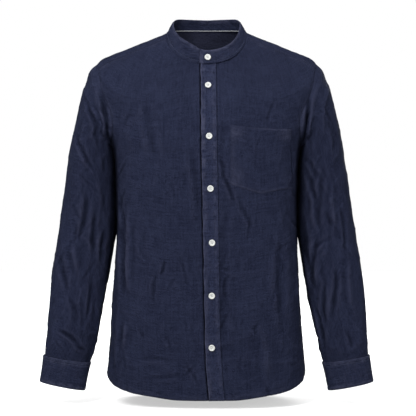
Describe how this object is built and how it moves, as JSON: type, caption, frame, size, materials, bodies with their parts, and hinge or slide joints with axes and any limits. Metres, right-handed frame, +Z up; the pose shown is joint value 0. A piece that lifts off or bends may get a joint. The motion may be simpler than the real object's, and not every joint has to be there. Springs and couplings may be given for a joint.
{
  "type": "mandarin collar shirt",
  "caption": "Long-sleeved shirt with a standing band collar, button placket, chest pocket and barrel cuffs, filled out as worn.",
  "frame": {"origin": "midway between the two points where the shoulder ridges meet the neck, where the wearer's shoulders carry the shirt", "axes": "+Z up, -Y to the front, +X to the wearer's left"},
  "size_m": [0.6872, 0.2601, 0.789],
  "materials": {
    "linen": "matte",
    "piping": "matte",
    "button": "gloss"
  },
  "bodies": {
    "root": {"front_left": "linen", "front_right": "linen", "placket": "linen", "back": "linen", "yoke": "linen", "collar": "linen", "pocket": "linen", "sleeve_left_upper": "linen", "sleeve_left_lower": "linen", "sleeve_right_upper": "linen", "sleeve_right_lower": "linen", "sleeve_placket_left": "linen", "sleeve_placket_right": "linen", "cuff_left": "linen", "cuff_right": "linen", "neck_piping": "piping", "button_1": "button", "button_2": "button", "button_3": "button", "button_4": "button", "button_5": "button", "button_6": "button", "button_7": "button", "cuff_button_left": "button", "cuff_button_right": "button"}
  },
  "joints": []
}
